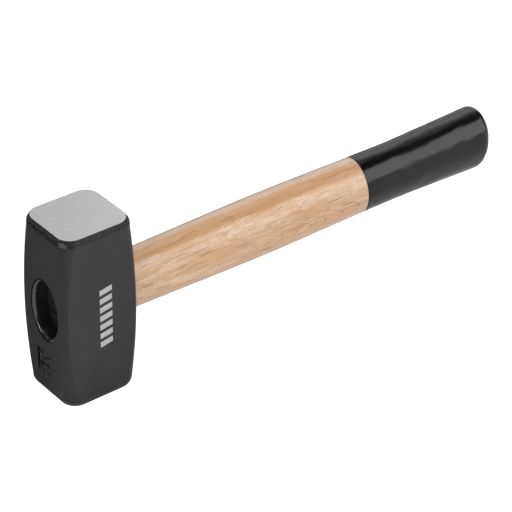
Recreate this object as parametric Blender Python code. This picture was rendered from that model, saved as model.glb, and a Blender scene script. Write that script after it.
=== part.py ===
"""A club sledgehammer: a forged steel head wedged onto an oval wooden handle whose grip end is dip coated.

Metres, +Z up. The head stands on its lower striking face, whose centre is the origin, and the handle
points along +X. The wedges lie inside the head's eye, where they spread the split tip of the handle.
"""

import math

import bmesh
import bpy
from mathutils import Vector

# Head: a square forging whose corners are rounded more and more towards its two striking faces
HEAD_LENGTH = 0.095
HEAD_HALF_DEPTH = 0.0205
HEAD_HALF_WIDTH = 0.01875
FACE_HALF_DEPTH = 0.0187
FACE_HALF_WIDTH = 0.0177
FACE_CHAMFER_HEIGHT = 0.003
FACE_CORNER_RADIUS = 0.0075
END_CORNER_RADIUS = 0.0063
WAIST_CORNER_RADIUS = 0.0015
HANDLE_HEIGHT = HEAD_LENGTH / 2

# Eye: an oval hole along X, narrowest at its waist, so that the spread handle can't pull out.
# Each pair is the half width along Y and the half height along Z. The eye rises towards its front mouth.
EYE_FRONT = (0.0097, 0.0157)
EYE_WAIST = (0.0093, 0.0149)
EYE_BACK = (0.0106, 0.0162)
EYE_WAIST_X = 0.006
EYE_FRONT_CHAMFER = 0.0013
EYE_BACK_CHAMFER = 0.0007
EYE_RISE = 0.0014

# Stamped panel below the eye, on the front of the head
STAMP_HALF_WIDTH = 0.0077
STAMP_HALF_HEIGHT = 0.0073
STAMP_BELOW_EYE_CENTRE = 0.0318
STAMP_DEPTH = 0.0007
STAMP_CORNER_RADIUS = 0.0012

# Handle: (x, half width along Y, half height along Z) where the oval changes, from the head to the butt
TIP_RECESS = 0.008
HANDLE_OVALS = (
    (0.0205, 0.01030, 0.01590),
    (0.0440, 0.01100, 0.01630),
    (0.0800, 0.01170, 0.01690),
    (0.1150, 0.01220, 0.01720),
    (0.1700, 0.01225, 0.01640),
    (0.2000, 0.01215, 0.01625),
    (0.2240, 0.01240, 0.01715),
    (0.2608, 0.01270, 0.01850),
)
BUTT_X = 0.2608
BUTT_ROUNDING = 0.0083
BUTT_SQUARENESS = 2.3

# Grip coating: a dipped skin, level with the bare wood in front of it. Its edge leans: the skin reaches
# further towards the head on top, by this many metres for each metre of height.
COATING_START_X = 0.1718
COATING_EDGE_LEAN = 0.085
COATING_THICKNESS = 0.0005
COATING_PROUD = 0.0001

# Wedges, in a lengthwise kerf and two cross slots of the handle's tip
KERF_HALF_HEIGHT = 0.018
KERF_END_X = 0.0165
WOODEN_WEDGE_END_X = 0.0155
WOODEN_WEDGE_THICK = 0.0040
WOODEN_WEDGE_THIN = 0.0012
WOODEN_WEDGE_HALF_HEIGHT_TIP = 0.0146
WOODEN_WEDGE_HALF_HEIGHT_TOE = 0.0140
STEEL_WEDGE_LENGTH = 0.016
STEEL_WEDGE_THICK = 0.0034
STEEL_WEDGE_THIN = 0.0008
STEEL_WEDGE_HALF_WIDTH = 0.0058
STEEL_WEDGE_OFFSETS = {"upper": 0.0085, "lower": -0.0065}
STEEL_WEDGE_PROUD = 0.0005
STEEL_WEDGE_BARBS = 3
STEEL_WEDGE_BARB_DEPTH = 0.00025

FIT_GAP = 0.0003
CUT_MARGIN = 0.002

# Mesh resolution
OVAL_SIDES = 40
CORNER_SEGMENTS = 5
HEAD_LEVELS = 12
HANDLE_STEP = 0.010
BUTT_STEPS = 6

TIP_X = -HEAD_HALF_DEPTH + TIP_RECESS


def clear_scene():
    for obj in list(bpy.data.objects):
        bpy.data.objects.remove(obj)


def material(name, colour, roughness, metallic=0.0):
    made = bpy.data.materials.new(name)
    made.use_nodes = True
    shader = made.node_tree.nodes["Principled BSDF"]
    shader.inputs["Base Color"].default_value = (*colour, 1.0)
    shader.inputs["Roughness"].default_value = roughness
    shader.inputs["Metallic"].default_value = metallic
    return made


def add_object(name, mesh, finish=None, parent=None):
    obj = bpy.data.objects.new(name, mesh)
    bpy.context.scene.collection.objects.link(obj)
    if finish:
        mesh.materials.append(finish)
    obj.parent = parent
    return obj


def lofted_mesh(name, rings):
    """A closed solid: the first ring's face, extruded to each further ring in turn."""
    bm = bmesh.new()
    faces = [bm.faces.new([bm.verts.new(point) for point in rings[0]])]
    for ring in rings[1:]:
        grown = bmesh.ops.extrude_face_region(bm, geom=[faces[-1]])["geom"]
        faces.append(next(item for item in grown if isinstance(item, bmesh.types.BMFace)))
        for vert, point in zip(faces[-1].verts, ring):
            vert.co = point
    bmesh.ops.delete(bm, geom=faces[1:-1], context="FACES_ONLY")
    bmesh.ops.recalc_face_normals(bm, faces=bm.faces)
    mesh = bpy.data.meshes.new(name)
    bm.to_mesh(mesh)
    bm.free()
    return mesh


def extruded_mesh(name, outline, direction):
    """A closed solid: a flat outline pushed along a direction."""
    return lofted_mesh(name, [outline, [point + direction for point in outline]])


def shade_smooth(mesh, sharp_degrees=30):
    mesh.shade_smooth()
    mesh.set_sharp_from_angle(angle=math.radians(sharp_degrees))


def cut(obj, name, mesh):
    """Subtracts a solid from obj with a Boolean modifier, and keeps the cutter as a hidden helper."""
    cutter = add_object(name, mesh, parent=obj.parent)
    cutter.hide_render = True
    cutter.display_type = "WIRE"
    boolean = obj.modifiers.new(name, "BOOLEAN")
    boolean.operation = "DIFFERENCE"
    boolean.solver = "EXACT"
    boolean.object = cutter


def oval_ring(x, half_width, half_height):
    """An ellipse across X."""
    turns = [2 * math.pi * i / OVAL_SIDES for i in range(OVAL_SIDES)]
    return [Vector((x, half_width * math.cos(a), half_height * math.sin(a))) for a in turns]


def rounded_rectangle(half_depth, half_width, radius, z):
    """A ring across Z with four round corners."""
    ring = []
    for corner, (side_x, side_y) in enumerate(((1, 1), (-1, 1), (-1, -1), (1, -1))):
        for step in range(CORNER_SEGMENTS + 1):
            angle = math.pi / 2 * (corner + step / CORNER_SEGMENTS)
            x = side_x * (half_depth - radius) + radius * math.cos(angle)
            y = side_y * (half_width - radius) + radius * math.sin(angle)
            ring.append(Vector((x, y, z)))
    return ring


def mix(start, end, share):
    return start + (end - start) * share


def eye_size(x):
    """Half width and half height of the eye at x, without its mouth chamfers."""
    mouth, mouth_x = (EYE_FRONT, -HEAD_HALF_DEPTH) if x < EYE_WAIST_X else (EYE_BACK, HEAD_HALF_DEPTH)
    share = (x - EYE_WAIST_X) / (mouth_x - EYE_WAIST_X)
    return [mix(waist, wide, share) for waist, wide in zip(EYE_WAIST, mouth)]


def eye_rise(x):
    """How far the middle of the eye at x lies above the handle's axis."""
    return EYE_RISE * max(0.0, HEAD_HALF_DEPTH - x) / (2 * HEAD_HALF_DEPTH)


def handle_size(x):
    """Half width and half height of the bare handle at x: a smooth curve through HANDLE_OVALS."""
    rows = HANDLE_OVALS
    if x <= rows[0][0]:
        return [size - FIT_GAP for size in eye_size(x)]
    k = next(i for i in range(1, len(rows)) if x <= rows[i][0] or i == len(rows) - 1)
    span = rows[k][0] - rows[k - 1][0]
    t = min((x - rows[k - 1][0]) / span, 1.0)

    def slope(i, column):
        low, high = rows[max(i - 1, 0)], rows[min(i + 1, len(rows) - 1)]
        return (high[column] - low[column]) / (high[0] - low[0])

    sizes = []
    for column in (1, 2):
        start, end = rows[k - 1][column], rows[k][column]
        out, into = slope(k - 1, column) * span, slope(k, column) * span
        sizes.append(
            (2 * t**3 - 3 * t**2 + 1) * start
            + (t**3 - 2 * t**2 + t) * out
            + (3 * t**2 - 2 * t**3) * end
            + (t**3 - t**2) * into
        )
    return sizes


def handle_ring(x, inset=0.0, lean=0.0):
    """The handle's outline at x, shrunk by inset. Where it leans, its top is nearer the head."""
    half_width, half_height = handle_size(x)
    ring = oval_ring(x, half_width - inset, half_height - inset)
    return [point + Vector((-lean * point.z, 0, eye_rise(x))) for point in ring]


def steps_between(start, end):
    """Even stops from start to end, both included, about HANDLE_STEP apart."""
    count = max(1, round((end - start) / HANDLE_STEP))
    return [mix(start, end, i / count) for i in range(count + 1)]


def butt_rings(inset):
    """Rings that close the butt with a squarish dome, from its widest ring to a small last one."""
    start = BUTT_X - BUTT_ROUNDING
    half_width, half_height = (size - inset for size in handle_size(start))
    rings = []
    for step in range(BUTT_STEPS):
        angle = math.pi / 2 * step / (BUTT_STEPS - 0.5)
        share = math.cos(angle) ** (2 / BUTT_SQUARENESS)
        x = start + (BUTT_ROUNDING - inset) * math.sin(angle) ** (2 / BUTT_SQUARENESS)
        rings.append(oval_ring(x, half_width * share, half_height * share))
    return rings


def head_rings():
    """From the lower striking face, up the chamfer and the sides, to the upper striking face."""
    low, high = FACE_CHAMFER_HEIGHT, HEAD_LENGTH - FACE_CHAMFER_HEIGHT
    rings = [rounded_rectangle(FACE_HALF_DEPTH, FACE_HALF_WIDTH, FACE_CORNER_RADIUS, 0.0)]
    for level in range(HEAD_LEVELS + 1):
        share = level / HEAD_LEVELS
        from_waist = 2 * share - 1
        radius = mix(WAIST_CORNER_RADIUS, END_CORNER_RADIUS, from_waist**2)
        rings.append(rounded_rectangle(HEAD_HALF_DEPTH, HEAD_HALF_WIDTH, radius, mix(low, high, share)))
    rings.append(rounded_rectangle(FACE_HALF_DEPTH, FACE_HALF_WIDTH, FACE_CORNER_RADIUS, HEAD_LENGTH))
    return rings


def eye_rings():
    """The eye's cutter: its chamfers run on past the head at the same slope."""
    front_x, back_x = -HEAD_HALF_DEPTH, HEAD_HALF_DEPTH
    stops = (
        (front_x - CUT_MARGIN, EYE_FRONT, EYE_FRONT_CHAMFER + CUT_MARGIN),
        (front_x + EYE_FRONT_CHAMFER, EYE_FRONT, 0.0),
        (EYE_WAIST_X, EYE_WAIST, 0.0),
        (back_x - EYE_BACK_CHAMFER, EYE_BACK, 0.0),
        (back_x + CUT_MARGIN, EYE_BACK, EYE_BACK_CHAMFER + CUT_MARGIN),
    )
    rings = []
    for x, (half_width, half_height), wider in stops:
        middle = Vector((0, 0, HANDLE_HEIGHT + eye_rise(x)))
        ring = oval_ring(x, half_width + wider, half_height + wider)
        rings.append([point + middle for point in ring])
    return rings


def stamp_outline():
    """The stamped panel's outline, lying just in front of the head."""
    flat = rounded_rectangle(STAMP_HALF_HEIGHT, STAMP_HALF_WIDTH, STAMP_CORNER_RADIUS, 0.0)
    centre_z = HANDLE_HEIGHT + EYE_RISE - STAMP_BELOW_EYE_CENTRE
    x = -HEAD_HALF_DEPTH - CUT_MARGIN
    return [Vector((x, point.y, centre_z + point.x)) for point in flat]


def wooden_wedge_half_thickness(x):
    share = (x - TIP_X) / (WOODEN_WEDGE_END_X - TIP_X)
    return mix(WOODEN_WEDGE_THICK, WOODEN_WEDGE_THIN, share) / 2


def wedge_between_sides(name, tip_x, tip_half_height, toe_x, toe_half_height, clearance):
    """A solid between the wooden wedge's two broad faces, each moved outwards by clearance."""
    tip_z, toe_z = eye_rise(tip_x), eye_rise(toe_x)
    corners = (
        (tip_x, tip_z + tip_half_height),
        (tip_x, tip_z - tip_half_height),
        (toe_x, toe_z - toe_half_height),
        (toe_x, toe_z + toe_half_height),
    )
    sides = []
    for side in (-1, 1):
        ring = []
        for x, z in corners:
            ring.append(Vector((x, side * (wooden_wedge_half_thickness(x) + clearance), z)))
        sides.append(ring)
    return lofted_mesh(name, sides)


def wooden_wedge_mesh():
    """A tapered slip whose broad faces press the two halves of the handle's tip apart."""
    return wedge_between_sides(
        "wooden_wedge",
        TIP_X,
        WOODEN_WEDGE_HALF_HEIGHT_TIP,
        WOODEN_WEDGE_END_X,
        WOODEN_WEDGE_HALF_HEIGHT_TOE,
        0.0,
    )


def kerf_mesh():
    """The saw kerf that the wooden wedge has opened, cut right across the handle's tip."""
    return wedge_between_sides(
        "kerf", TIP_X - CUT_MARGIN, KERF_HALF_HEIGHT, KERF_END_X, KERF_HALF_HEIGHT, FIT_GAP
    )


def steel_wedge_half_thickness(x):
    share = (x - steel_wedge_start()) / STEEL_WEDGE_LENGTH
    return mix(STEEL_WEDGE_THICK, STEEL_WEDGE_THIN, share) / 2


def steel_wedge_start():
    return TIP_X - STEEL_WEDGE_PROUD


def steel_wedge_mesh():
    """A flat wedge whose two faces are stepped into barbs that stop it backing out."""
    start, length = steel_wedge_start(), STEEL_WEDGE_LENGTH
    upper = []
    for barb in range(STEEL_WEDGE_BARBS):
        near = start + length * barb / STEEL_WEDGE_BARBS
        far = start + length * (barb + 1) / STEEL_WEDGE_BARBS
        upper.append((near, steel_wedge_half_thickness(near)))
        upper.append((far, steel_wedge_half_thickness(far) - STEEL_WEDGE_BARB_DEPTH))
    profile = upper + [(x, -z) for x, z in reversed(upper)]
    outline = [Vector((x, -STEEL_WEDGE_HALF_WIDTH, z)) for x, z in profile]
    return extruded_mesh("steel_wedge", outline, Vector((0, 2 * STEEL_WEDGE_HALF_WIDTH, 0)))


def steel_wedge_slot_mesh(name, offset_z):
    """The slot that a steel wedge has opened: its faces with FIT_GAP all round."""
    start = steel_wedge_start() - CUT_MARGIN
    end = steel_wedge_start() + STEEL_WEDGE_LENGTH + FIT_GAP
    half_width = STEEL_WEDGE_HALF_WIDTH + FIT_GAP
    outline = []
    for x, side in ((start, 1), (start, -1), (end, -1), (end, 1)):
        half_thickness = steel_wedge_half_thickness(x) + FIT_GAP
        outline.append(Vector((x, -half_width, offset_z + side * half_thickness)))
    return extruded_mesh(name, outline, Vector((0, 2 * half_width, 0)))


def make_head(finish):
    mesh = lofted_mesh("hammer_head", head_rings())
    shade_smooth(mesh)
    head = add_object("hammer_head", mesh, finish)
    cut(head, "eye_cutter", lofted_mesh("eye_cutter", eye_rings()))
    inward = Vector((CUT_MARGIN + STAMP_DEPTH, 0, 0))
    cut(head, "stamp_cutter", extruded_mesh("stamp_cutter", stamp_outline(), inward))
    return head


def make_handle(finish, axis):
    """The wooden handle, from its split tip in the eye to its butt inside the coating."""
    shoulder_x = COATING_START_X - FIT_GAP
    skin = COATING_THICKNESS + FIT_GAP - COATING_PROUD
    in_eye = [TIP_X, EYE_WAIST_X]
    bare = steps_between(HANDLE_OVALS[0][0], shoulder_x)[:-1]
    covered = steps_between(shoulder_x, BUTT_X - BUTT_ROUNDING)[1:-1]
    rings = [handle_ring(x) for x in in_eye + bare]
    rings.append(handle_ring(shoulder_x, lean=COATING_EDGE_LEAN))
    rings.append(handle_ring(shoulder_x, skin, COATING_EDGE_LEAN))
    rings += [handle_ring(x, skin) for x in covered]
    rings += butt_rings(skin)
    mesh = lofted_mesh("handle", rings)
    shade_smooth(mesh)
    handle = add_object("handle", mesh, finish, axis)
    cut(handle, "kerf", kerf_mesh())
    for name, offset_z in STEEL_WEDGE_OFFSETS.items():
        slot = f"handle_slot_{name}"
        cut(handle, slot, steel_wedge_slot_mesh(slot, offset_z))
    return handle


def make_coating(finish, axis):
    """The dipped skin: a cup over the grip end, from its outer dome round its lip to its inner dome."""
    stops = steps_between(COATING_START_X, BUTT_X - BUTT_ROUNDING)[1:-1]
    inner = COATING_THICKNESS - COATING_PROUD
    rings = list(reversed(butt_rings(-COATING_PROUD)))
    rings += [handle_ring(x, -COATING_PROUD) for x in reversed(stops)]
    rings.append(handle_ring(COATING_START_X, -COATING_PROUD, COATING_EDGE_LEAN))
    rings.append(handle_ring(COATING_START_X, inner, COATING_EDGE_LEAN))
    rings += [handle_ring(x, inner) for x in stops]
    rings += butt_rings(inner)
    mesh = lofted_mesh("grip_coating", rings)
    shade_smooth(mesh)
    return add_object("grip_coating", mesh, finish, axis)


def make_wedges(wood, steel, axis):
    wooden = add_object("wooden_wedge", wooden_wedge_mesh(), wood, axis)
    shared = steel_wedge_mesh()
    shared.materials.append(steel)
    for name, offset_z in STEEL_WEDGE_OFFSETS.items():
        slot = f"wooden_wedge_slot_{name}"
        cut(wooden, slot, steel_wedge_slot_mesh(slot, offset_z))
        wedge = add_object(f"steel_wedge_{name}", shared, parent=axis)
        wedge.location.z = offset_z


def main():
    clear_scene()
    painted_steel = material("painted_steel", (0.035, 0.035, 0.036), 0.42)
    handle_wood = material("handle_wood", (0.62, 0.42, 0.26), 0.45)
    wedge_wood = material("wedge_wood", (0.50, 0.33, 0.19), 0.6)
    wedge_steel = material("wedge_steel", (0.42, 0.42, 0.43), 0.4, 1.0)
    black_coating = material("black_coating", (0.012, 0.012, 0.013), 0.15)

    handle_axis = bpy.data.objects.new("handle_axis", None)
    handle_axis.location.z = HANDLE_HEIGHT
    bpy.context.scene.collection.objects.link(handle_axis)

    make_head(painted_steel)
    make_handle(handle_wood, handle_axis)
    make_coating(black_coating, handle_axis)
    make_wedges(wedge_wood, wedge_steel, handle_axis)


main()
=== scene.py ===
"""Looks of a club sledgehammer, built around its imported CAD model. Metres, +Z up, +X along the handle."""

import math

import bmesh
import bpy
from mathutils import Matrix, Quaternion, Vector, noise


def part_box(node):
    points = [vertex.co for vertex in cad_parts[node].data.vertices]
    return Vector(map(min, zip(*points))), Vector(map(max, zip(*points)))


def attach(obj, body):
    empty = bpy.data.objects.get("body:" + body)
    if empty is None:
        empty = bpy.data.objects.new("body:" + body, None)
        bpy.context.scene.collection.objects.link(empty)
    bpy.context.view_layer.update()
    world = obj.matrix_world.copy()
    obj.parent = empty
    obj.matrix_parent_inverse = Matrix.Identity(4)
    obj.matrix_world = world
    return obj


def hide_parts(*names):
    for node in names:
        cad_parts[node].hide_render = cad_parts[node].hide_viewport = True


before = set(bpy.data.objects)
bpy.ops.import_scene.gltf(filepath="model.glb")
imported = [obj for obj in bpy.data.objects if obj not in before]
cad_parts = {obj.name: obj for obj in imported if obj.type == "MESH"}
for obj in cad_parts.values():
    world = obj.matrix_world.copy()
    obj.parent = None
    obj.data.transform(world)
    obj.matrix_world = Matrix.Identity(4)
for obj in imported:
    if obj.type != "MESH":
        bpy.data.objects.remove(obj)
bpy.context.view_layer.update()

# Places that the CAD model gives
HEAD_LOW, HEAD_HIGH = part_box("hammer_head")
TIP_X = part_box("handle")[0].x
WOODEN_WEDGE_LOW, WOODEN_WEDGE_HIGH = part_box("wooden_wedge")
HEAD_LENGTH = HEAD_HIGH.z - HEAD_LOW.z
HEAD_HALF_DEPTH = HEAD_HIGH.x
HEAD_HALF_WIDTH = HEAD_HIGH.y
HANDLE_HEIGHT = (HEAD_LOW.z + HEAD_HIGH.z) / 2

# Head: how far its forged skin stays inside the CAD box, its barrel shape, and its end rings with their ledge
SKIN_INSET = 0.00005
SKIN_CLEARANCE = 0.00002
BARREL_DEPTH = 0.00026
BARREL_WIDTH = 0.00028
RING_HEIGHT = 0.0030
RING_ROUNDNESS = 0.45
RING_STEPS = 14
LEDGE_RAGGEDNESS = 0.0007
LEDGE_HEIGHT = 0.00028
LEDGE_GROOVE = 0.00016
LEDGE_STEP = 0.00015
LEDGE_ZONE = 0.0018
LOWER_RING_SCALE = 0.3

# Waves, each layer as (height, size, seed): of the ledge's edge, the smooth body and the end rings' scale
LEDGE_WAVES = ((1.0, 0.0045, 31), (0.6, 0.0014, 33))
BODY_WAVES = ((0.00003, 0.012, 3), (0.00001, 0.003, 5))
SCALE_WAVES = ((0.00026, 0.0021, 7), (0.00016, 0.0011, 11))

# Corner legs and facets of the head, and its ground faces, with the height below their rims that stays clean
WAIST_CORNER = 0.0016
END_CORNER = 0.0062
CORNER_GROWTH = 1.92
FLATNESS_AT_FRONT = 0.56
FLATNESS_AT_CHEEK = 0.0
GROUND_HALF_DEPTH = 0.0187
GROUND_HALF_WIDTH = 0.0177
GROUND_CORNER = 0.0075
GROUND_EDGE = 0.0001
HEAD_STEP = 0.0005
CORNER_STEPS = 12
WEAR_REACH = 0.0009

# Attributes of the head's points, each from 0 to 1, that its paint reads
HEAD_MARKS = ("scaly", "shadow", "wear_and_sheen")

# Material slots of the head, and of the pieces whose tips are painted over, in black that also stands for the
# shade deep in the eye
GROUND_SLOT, STAMP_SLOT, EYE_SLOT, PAINTED_SHADE_SLOT = 1, 2, 3, 4
PLAIN_SLOT, TIP_PAINT_AND_SHADE_SLOT = 0, 1

# Eye: half width and half height at the front mouth, the waist and the back mouth, and how far it rises
EYE_FRONT = (0.0097, 0.0157)
EYE_WAIST = (0.0093, 0.0149)
EYE_BACK = (0.0106, 0.0162)
EYE_WAIST_X = 0.006
EYE_RISE = 0.0014
EYE_SIDES = 160
EYE_STEP = 0.003

# How far cutters reach out past the surface they cut
CUTTER_REACH = 0.002

# Rounded rims of the eye: (outward, inward) reach of the front and the back one, and the front one's crease
RIM_FRONT = (0.0010, 0.0013)
RIM_BACK = (0.0005, 0.0007)
RIM_ROUNDNESS = 0.35
RIM_SINK = 0.00012
RIM_SPREAD = 0.0005
CREASE_WIDTH = 0.0009
CREASE_MIN_WIDTH = 0.00003
CREASE_DEPTH = 0.0008
CREASE_FACE_ROWS = range(1, 4)
RIM_STEPS = 10

# Stamped panel under the eye
STAMP_HALF_WIDTH = 0.0077
STAMP_HALF_HEIGHT = 0.0073
STAMP_BELOW_EYE_CENTRE = 0.0318
STAMP_DEPTH_LEFT = 0.0014
STAMP_DEPTH_RIGHT = 0.00022
STAMP_PEBBLE = 0.0015
STAMP_PEBBLE_HEIGHT = 0.0009
STAMP_LEAST_DEPTH = 0.00008
STAMP_STEPS = 64

# Handle: (x, half width, half height) where the oval changes
HANDLE_OVALS = (
    (0.0205, 0.01030, 0.01590),
    (0.0440, 0.01100, 0.01630),
    (0.0800, 0.01170, 0.01690),
    (0.1150, 0.01220, 0.01720),
    (0.1700, 0.01225, 0.01640),
    (0.2000, 0.01215, 0.01625),
    (0.2240, 0.01240, 0.01715),
    (0.2608, 0.01270, 0.01850),
)
BUTT_X = 0.2608
BUTT_ROUNDING = 0.0083
BUTT_SQUARENESS = 2.3
BUTT_STEPS = 22
HANDLE_SIDES = 128
HANDLE_STEP = 0.0012
COVERED_STEP = 0.004
FIT_GAP = 0.0003
KERF_HALF_HEIGHT = 0.018
KERF_END_X = 0.0165

# Ripples of the bare wood and of the coating: (height, size, seed), and how much longer they are than wide
WOOD_RIPPLE = (0.00004, 0.009, 41)
COATING_RIPPLE = (0.00017, 0.0065, 51)
RIPPLE_STRETCH = 2.2

# Growth arches of the wood: their middle's height, their narrowness, the last one's tip, and their spacing
ARCH_HEIGHT = 0.0440
ARCH_NARROWNESS = 420.0
ARCH_TIP_X = 0.164
ARCH_STEP = 0.0105

# Height above which, and side up to which, the wood's amber band of painted shade lies, and the widths of its
# soft edges
SHADE_BAND_Z = 0.0618
SHADE_BAND_Y = 0.0004
SHADE_BAND_EDGE_Z = 0.0016
SHADE_BAND_EDGE_Y = 0.0020

# Across the handle: where the paler side, a painted sheen along the upper edge, sets in, and where it is full
SHEEN_SIDE_STARTS_Y = -0.0022
SHEEN_SIDE_FULL_Y = 0.0012

# Pores of the wood: (stretch of their grid, its shift, share of its cells that hold one)
LONG_PORES = ((55.0, 1300.0, 1300.0), 0.0, 0.15)
SHORT_PORES = ((200.0, 1700.0, 1700.0), 0.37, 0.05)

# Grip coating: the handle's full size is its outside, and its inside lies COATING_THICKNESS below that
COATING_START_X = 0.1718
COATING_EDGE_LEAN = 0.085
COATING_LEAN_REACH = 0.012
COATING_THICKNESS = 0.0004
COATING_LIP_SINK = 0.00012
COATING_LIP_LENGTH = 0.0012
COATING_PROUD = 0.00003
COATING_STEP = 0.0009

# Wedges
WOODEN_WEDGE_THICK = 0.0040
WOODEN_WEDGE_THIN = 0.0012
WOODEN_WEDGE_HALF_HEIGHT_TIP = 0.0146
WOODEN_WEDGE_HALF_HEIGHT_TOE = 0.0140
STEEL_WEDGE_THICK = 0.0034
STEEL_WEDGE_THIN = 0.0008
STEEL_WEDGE_HALF_WIDTH = 0.0058
STEEL_WEDGE_BARBS = 3
STEEL_WEDGE_BARB_DEPTH = 0.00025
WEDGE_EDGE = 0.00015
PAINTED_TIP = 0.0004

# Printed mark on the cheek: plain bars in a column, in ink
MARK_LEFT, MARK_RIGHT = -0.0015, 0.0055
MARK_LOW, MARK_HIGH = -0.0175, 0.0170
MARK_BARS = 7
MARK_BAR_SHARE = 0.62
MARK_SLANT = 0.0012
INK_THICKNESS = 0.00003

# Camera: a long lens, above and in front of the head's left cheek; its right side points to CAMERA_AZIMUTH
CAMERA_AZIMUTH = math.radians(-38.994)
CAMERA_ELEVATION = math.radians(33.617)
CAMERA_ROLL = math.radians(1.181)
CAMERA_DISTANCE = 1.0758
CAMERA_AIM = Vector((0.0727, -0.0431, 0.0659))
CAMERA_LENS_MM = 158.12

# Studio, angles in degrees: (name, azimuth, elevation, distance, width, height, radiance, roll) of each box
SOFT_BOXES = (
    ("key_box", -55, 19, 1.6, 2.0, 1.0, 2.5, 0),
    ("back_box", 37, 42, 1.5, 0.8, 0.6, 0.85, 0),
    ("back_wash", 42, 24, 1.6, 1.4, 1.3, 0.85, 0),
    ("back_top", 18, 53, 1.5, 0.8, 0.45, 0.45, 0),
    ("overhead", 0, 84, 1.5, 1.2, 1.2, 2.1, 0),
    ("left_strip", -157, 22, 1.5, 0.9, 0.10, 14.0, -45),
    ("left_wash", 122, 40, 1.5, 1.4, 1.0, 0.4, 0),
    ("front_top", -144, 56, 1.5, 1.0, 0.8, 0.5, 0),
)
STUDIO_CENTRE = Vector((0.10, 0.0, 0.04))

# Floor, and its own glow: (towards, where it starts that way, where it is full, strength)
FLOOR_HALF_SIZE = 8.0
FLOOR_DROP = 0.0001
FLOOR_ALBEDO = 0.42
FLOOR_GLOWS = (
    ((0.25, -0.97, 0.0), -0.04, 0.05, 0.40),
    ((-0.71, -0.70, 0.0), 0.008, 0.045, 0.28),
)

# Air: its light at the horizon and overhead, the height where the change ends, and what the camera sees more
AIR_AT_HORIZON = 0.0280
AIR_OVERHEAD = 0.0071
AIR_CHANGE_ENDS = 0.55
AIR_TO_CAMERA = 1.2


def mix(start, end, share):
    return start + (end - start) * share


def smooth_step(low, high, value):
    """0 where value is at low, 1 where it is at high. Low may be the greater of the two."""
    share = min(max((value - low) / (high - low), 0.0), 1.0)
    return share * share * (3 - 2 * share)


# ---------------------------------------------------------------- meshes


def add_object(name, mesh, finishes=()):
    obj = bpy.data.objects.new(name, mesh)
    bpy.context.scene.collection.objects.link(obj)
    for finish in finishes:
        mesh.materials.append(finish)
    return obj


def loft(name, rings):
    """A closed solid through rings of equally many points, capped at both ends."""
    bm = bmesh.new()
    loops = [[bm.verts.new(point) for point in ring] for ring in rings]
    count = len(rings[0])
    for near, far in zip(loops, loops[1:]):
        for i in range(count):
            j = (i + 1) % count
            bm.faces.new((near[i], near[j], far[j], far[i]))
    bm.faces.new(list(reversed(loops[0])))
    bm.faces.new(loops[-1])
    bmesh.ops.recalc_face_normals(bm, faces=bm.faces)
    mesh = bpy.data.meshes.new(name)
    bm.to_mesh(mesh)
    bm.free()
    return mesh


def shade(mesh, sharp_degrees):
    mesh.shade_smooth()
    mesh.set_sharp_from_angle(angle=math.radians(sharp_degrees))


def bake_modifiers(obj):
    """Turns obj's modifiers into plain mesh."""
    depsgraph = bpy.context.evaluated_depsgraph_get()
    solid = bpy.data.meshes.new_from_object(obj.evaluated_get(depsgraph))
    old = obj.data
    obj.modifiers.clear()
    obj.data = solid
    bpy.data.meshes.remove(old)


def carve(obj, cutter_mesh, slot=None):
    """Cuts a solid out of obj. The new faces take the material in that slot, or keep their own slots."""
    for finish in obj.data.materials:
        cutter_mesh.materials.append(finish)
    if slot is not None:
        for face in cutter_mesh.polygons:
            face.material_index = slot
    cutter = add_object("cutter", cutter_mesh)
    boolean = obj.modifiers.new("carve", "BOOLEAN")
    boolean.operation = "DIFFERENCE"
    boolean.solver = "EXACT"
    boolean.object = cutter
    bake_modifiers(obj)
    bpy.data.objects.remove(cutter)


def soften_edges(obj, width, segments=2, limit_degrees=30):
    bevel = obj.modifiers.new("soften", "BEVEL")
    bevel.width = width
    bevel.segments = segments
    bevel.limit_method = "ANGLE"
    bevel.angle_limit = math.radians(limit_degrees)
    bake_modifiers(obj)


def stand_in_for(obj, node):
    """obj rides on the hammer's one body and hides the CAD node."""
    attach(obj, "root")
    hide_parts(node)


def wave(point, size, seed):
    """Smooth noise between about -1 and 1, with features of that size."""
    return noise.noise(point / size + Vector((seed, seed * 1.7, -seed)))


def waves(point, layers):
    """Layers of such noise, added up."""
    return sum(height * wave(point, size, seed) for height, size, seed in layers)


def stops_between(start, end, step):
    """Even stops from start to end, about step apart."""
    count = max(1, round((end - start) / step))
    return [mix(start, end, i / count) for i in range(count + 1)]


# ---------------------------------------------------------------- material nodes


def new_material(name, rough, metallic=0.0, coat=0.0, coat_rough=0.1, level=0.5):
    made = bpy.data.materials.new(name)
    made.use_nodes = True
    shader = made.node_tree.nodes["Principled BSDF"]
    shader.inputs["Roughness"].default_value = rough
    shader.inputs["Metallic"].default_value = metallic
    shader.inputs["Coat Weight"].default_value = coat
    shader.inputs["Coat Roughness"].default_value = coat_rough
    shader.inputs["Specular IOR Level"].default_value = level
    return made, made.node_tree, shader


def add(tree, kind, sockets, **settings):
    """A shader node. Each of its sockets gets a link, if given another socket, or else a value."""
    made = tree.nodes.new("ShaderNode" + kind)
    for name, value in settings.items():
        setattr(made, name, value)
    for name, value in sockets.items():
        if isinstance(value, bpy.types.NodeSocket):
            tree.links.new(value, made.inputs[name])
        else:
            made.inputs[name].default_value = value
    return made


def place(tree, stretch=(1, 1, 1), shift=(0, 0, 0)):
    """The surface point in metres, moved by shift and then multiplied by stretch."""
    here = add(tree, "TexCoord", {}).outputs["Object"]
    moved = add(tree, "VectorMath", {0: here, 1: shift}, operation="ADD").outputs[0]
    return add(tree, "VectorMath", {0: moved, 1: stretch}, operation="MULTIPLY").outputs[0]


def cloud(tree, where, scale, detail=3.0, rough=0.55):
    """Soft noise around 0.5, with about scale features to the metre."""
    sockets = {"Vector": where, "Scale": scale, "Detail": detail, "Roughness": rough}
    return add(tree, "TexNoise", sockets).outputs["Fac"]


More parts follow.
